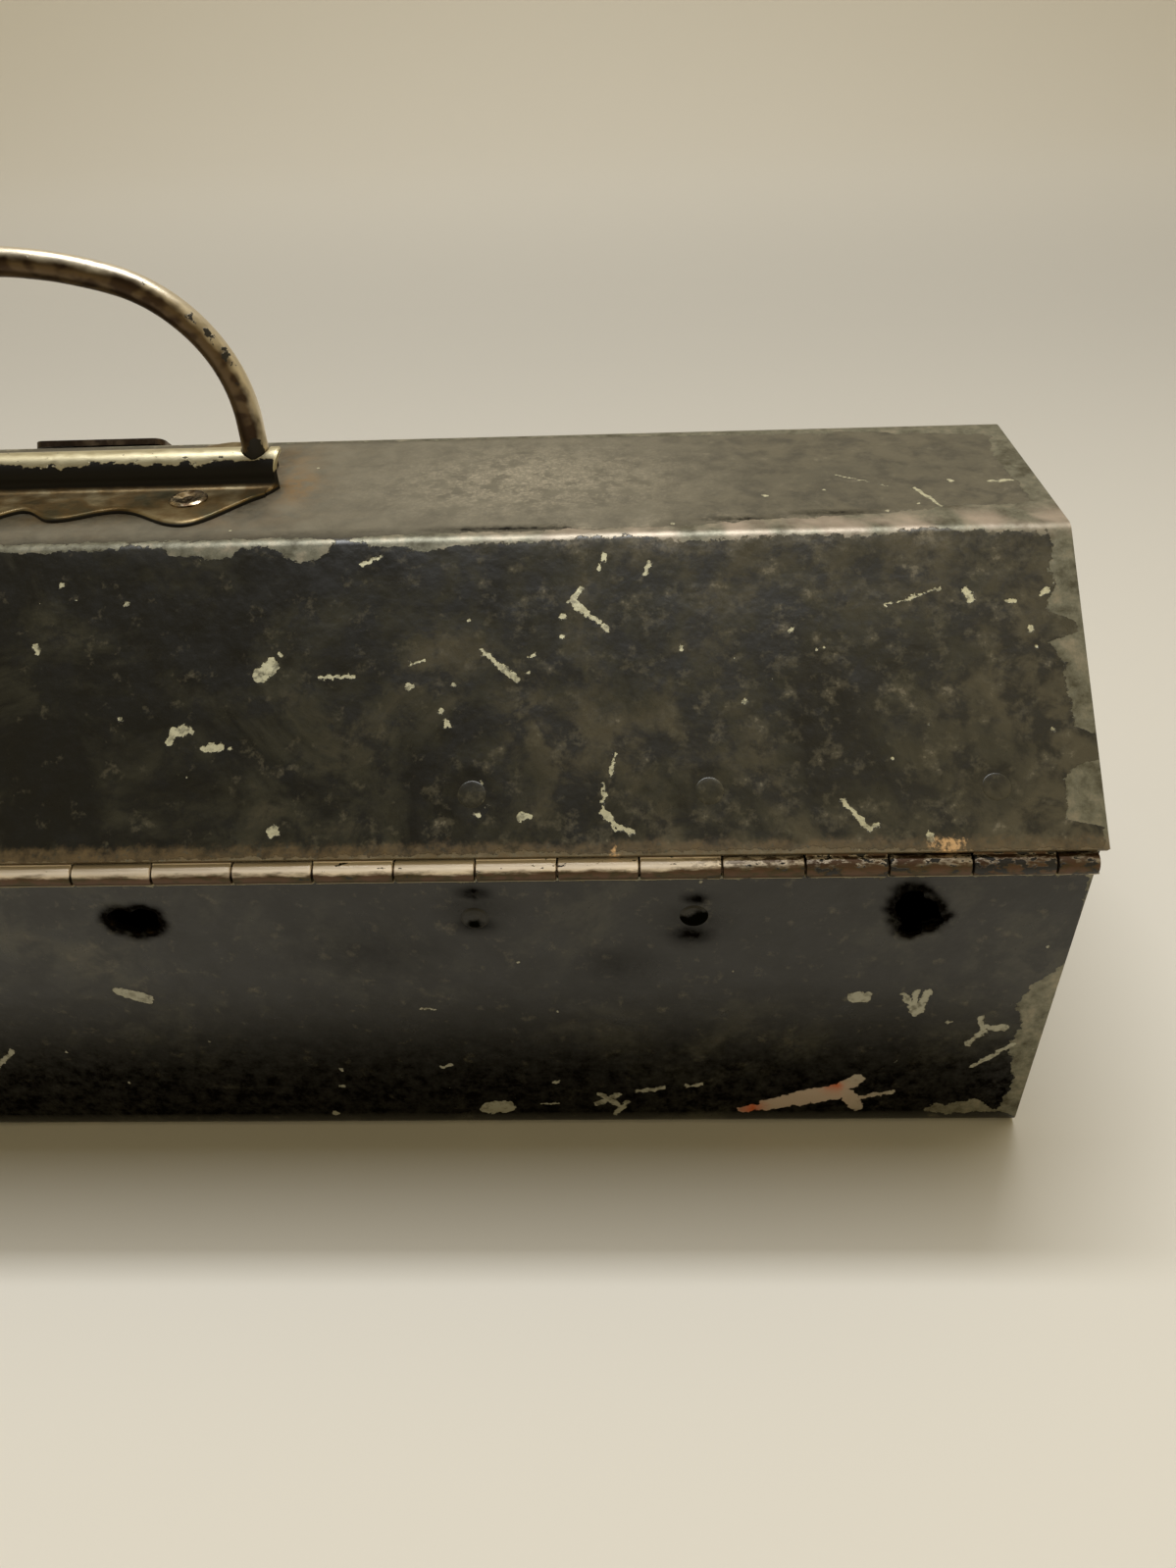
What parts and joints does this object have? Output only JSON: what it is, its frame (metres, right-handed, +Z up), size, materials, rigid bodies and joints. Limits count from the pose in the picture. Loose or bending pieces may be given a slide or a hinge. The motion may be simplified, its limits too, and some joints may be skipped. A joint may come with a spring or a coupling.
{
  "type": "lunch box",
  "caption": "Sheet-steel lunch box with a sloping lid on a piano hinge, a wire bail handle in a wavy-edged plate, and a swinging hasp with a turn staple.",
  "frame": {"origin": "on the floor under the middle of the box, half way between its front and back walls", "axes": "+X along the box, +Y towards the hinge side, +Z up; the hasp is on the -Y side"},
  "size_m": [0.358, 0.1428, 0.1436],
  "materials": {
    "black_paint": "worn semi-gloss black paint, chipped at the edges",
    "painted_rivet": "black paint over rust",
    "worn_steel": "worn, lightly rusted",
    "dark_steel": "dark brown patina",
    "bronzed_steel": "bronzed, rubbed bright on the crest",
    "wire_steel": "rubbed bright, brown in the hollows"
  },
  "bodies": {
    "base": {"base_wrap": "black_paint", "base_end_left": "black_paint", "base_end_right": "black_paint", "base_hinge_leaf": "worn_steel", "hinge_pin": "worn_steel", "base_hinge_rivets": "painted_rivet", "staple_keeper": "dark_steel", "keeper_rivets": "dark_steel", "staple_washer": "worn_steel"},
    "staple": {"turn_staple": "worn_steel"},
    "lid": {"lid_wrap": "black_paint", "lid_end_left": "black_paint", "lid_end_right": "black_paint", "lid_hinge_leaf": "worn_steel", "lid_hinge_rivets": "painted_rivet", "handle_plate": "bronzed_steel", "handle_rivets": "bronzed_steel", "hasp_leaf": "dark_steel", "hasp_pin": "worn_steel", "hasp_rivets": "dark_steel"},
    "bail": {"bail_handle": "wire_steel"},
    "hasp": {"hasp_strap": "dark_steel"}
  },
  "joints": [
    {"name": "lid_hinge", "type": "hinge", "parent": "base", "child": "lid", "pos_m": [0, 0.0645, 0.06596], "axis": [-1, 0, 0], "range_deg": [0, 160]},
    {"name": "handle_swing", "type": "hinge", "parent": "lid", "child": "bail", "pos_m": [0, -0.0025, 0.1048], "axis": [1, 0, 0], "range_deg": [0, 75]},
    {"name": "hasp_swing", "type": "hinge", "parent": "lid", "child": "hasp", "pos_m": [0, -0.06636, 0.07073], "axis": [1, 0, 0], "range_deg": [0, 231.94]},
    {"name": "staple_turn", "type": "hinge", "parent": "base", "child": "staple", "pos_m": [0, -0.0642, 0.03873], "axis": [0, -1, 0], "range_deg": [0, 90]}
  ]
}
